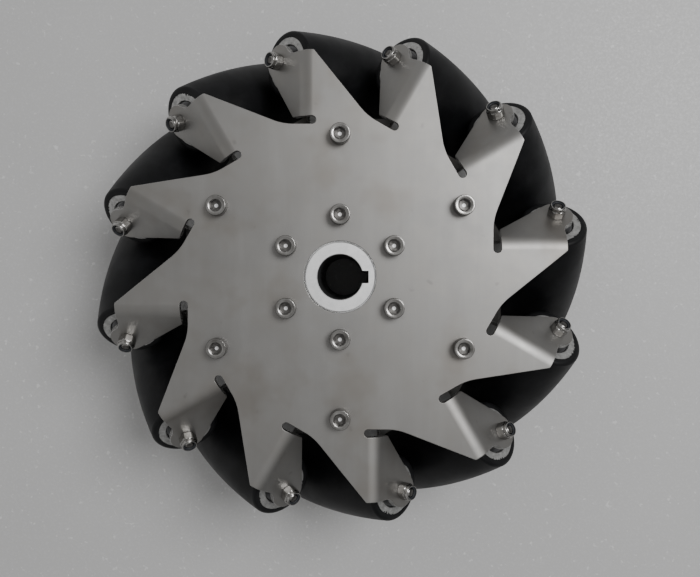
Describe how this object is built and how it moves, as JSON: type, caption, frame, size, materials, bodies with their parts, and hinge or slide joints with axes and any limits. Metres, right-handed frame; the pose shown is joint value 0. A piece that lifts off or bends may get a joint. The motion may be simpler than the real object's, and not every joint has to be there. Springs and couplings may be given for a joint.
{
  "type": "mecanum wheel",
  "caption": "Mecanum wheel: barrel rollers held at 45 degrees between two bent sheet-steel side plates, on a keyed hub.",
  "frame": {"origin": "the wheel's centre: on the spin axis, half way between the two side plates", "axes": "the wheel lies flat: +Z is its spin axis, out of the front face, where the screw heads are; +X points at the keyway and +Y at station 01. To have it spin about +Y, turn it -90 degrees about X"},
  "size_m": [0.254, 0.254, 0.102],
  "materials": {
    "plate": "satin",
    "hub": "machined",
    "fastener": "polished",
    "spacer": "machined",
    "core": "as cast",
    "tyre": "satin"
  },
  "bodies": {
    "wheel_frame": {"front_side_plate_upper": "plate", "front_side_plate_lower": "plate", "rear_side_plate_upper": "plate", "rear_side_plate_lower": "plate", "hub": "hub", "hub_screw_01": "fastener", "hub_screw_02": "fastener", "hub_screw_03": "fastener", "hub_screw_04": "fastener", "hub_screw_05": "fastener", "hub_screw_06": "fastener", "outer_screw_01": "fastener", "outer_screw_02": "fastener", "outer_screw_03": "fastener", "outer_screw_04": "fastener", "outer_screw_05": "fastener", "outer_screw_06": "fastener", "spacer_tube_01": "spacer", "spacer_tube_02": "spacer", "spacer_tube_03": "spacer", "spacer_tube_04": "spacer", "spacer_tube_05": "spacer", "spacer_tube_06": "spacer", "axle_screw_01": "fastener", "axle_screw_02": "fastener", "axle_screw_03": "fastener", "axle_screw_04": "fastener", "axle_screw_05": "fastener", "axle_screw_06": "fastener", "axle_screw_07": "fastener", "axle_screw_08": "fastener", "axle_screw_09": "fastener", "axle_screw_10": "fastener", "axle_screw_11": "fastener", "axle_screw_12": "fastener"},
    "roller_01": {"roller_tyre_01": "tyre", "roller_core_01": "core"},
    "roller_02": {"roller_tyre_02": "tyre", "roller_core_02": "core"},
    "roller_03": {"roller_tyre_03": "tyre", "roller_core_03": "core"},
    "roller_04": {"roller_tyre_04": "tyre", "roller_core_04": "core"},
    "roller_05": {"roller_tyre_05": "tyre", "roller_core_05": "core"},
    "roller_06": {"roller_tyre_06": "tyre", "roller_core_06": "core"},
    "roller_07": {"roller_tyre_07": "tyre", "roller_core_07": "core"},
    "roller_08": {"roller_tyre_08": "tyre", "roller_core_08": "core"},
    "roller_09": {"roller_tyre_09": "tyre", "roller_core_09": "core"},
    "roller_10": {"roller_tyre_10": "tyre", "roller_core_10": "core"},
    "roller_11": {"roller_tyre_11": "tyre", "roller_core_11": "core"},
    "roller_12": {"roller_tyre_12": "tyre", "roller_core_12": "core"}
  },
  "joints": [
    {"name": "roller_01_spin", "type": "hinge", "parent": "wheel_frame", "child": "roller_01", "pos_m": [0, 0.1075, 0], "axis": [-0.7071, 0, 0.7071], "continuous": true},
    {"name": "roller_02_spin", "type": "hinge", "parent": "wheel_frame", "child": "roller_02", "pos_m": [0.05375, 0.0931, 0], "axis": [-0.6124, 0.3536, 0.7071], "continuous": true},
    {"name": "roller_03_spin", "type": "hinge", "parent": "wheel_frame", "child": "roller_03", "pos_m": [0.0931, 0.05375, 0], "axis": [-0.3536, 0.6124, 0.7071], "continuous": true},
    {"name": "roller_04_spin", "type": "hinge", "parent": "wheel_frame", "child": "roller_04", "pos_m": [0.1075, 0, 0], "axis": [0, 0.7071, 0.7071], "continuous": true},
    {"name": "roller_05_spin", "type": "hinge", "parent": "wheel_frame", "child": "roller_05", "pos_m": [0.0931, -0.05375, 0], "axis": [0.3536, 0.6124, 0.7071], "continuous": true},
    {"name": "roller_06_spin", "type": "hinge", "parent": "wheel_frame", "child": "roller_06", "pos_m": [0.05375, -0.0931, 0], "axis": [0.6124, 0.3536, 0.7071], "continuous": true},
    {"name": "roller_07_spin", "type": "hinge", "parent": "wheel_frame", "child": "roller_07", "pos_m": [0, -0.1075, 0], "axis": [0.7071, 0, 0.7071], "continuous": true},
    {"name": "roller_08_spin", "type": "hinge", "parent": "wheel_frame", "child": "roller_08", "pos_m": [-0.05375, -0.0931, 0], "axis": [0.6124, -0.3536, 0.7071], "continuous": true},
    {"name": "roller_09_spin", "type": "hinge", "parent": "wheel_frame", "child": "roller_09", "pos_m": [-0.0931, -0.05375, 0], "axis": [0.3536, -0.6124, 0.7071], "continuous": true},
    {"name": "roller_10_spin", "type": "hinge", "parent": "wheel_frame", "child": "roller_10", "pos_m": [-0.1075, 0, 0], "axis": [0, -0.7071, 0.7071], "continuous": true},
    {"name": "roller_11_spin", "type": "hinge", "parent": "wheel_frame", "child": "roller_11", "pos_m": [-0.0931, 0.05375, 0], "axis": [-0.3536, -0.6124, 0.7071], "continuous": true},
    {"name": "roller_12_spin", "type": "hinge", "parent": "wheel_frame", "child": "roller_12", "pos_m": [-0.05375, 0.0931, 0], "axis": [-0.6124, -0.3536, 0.7071], "continuous": true}
  ]
}
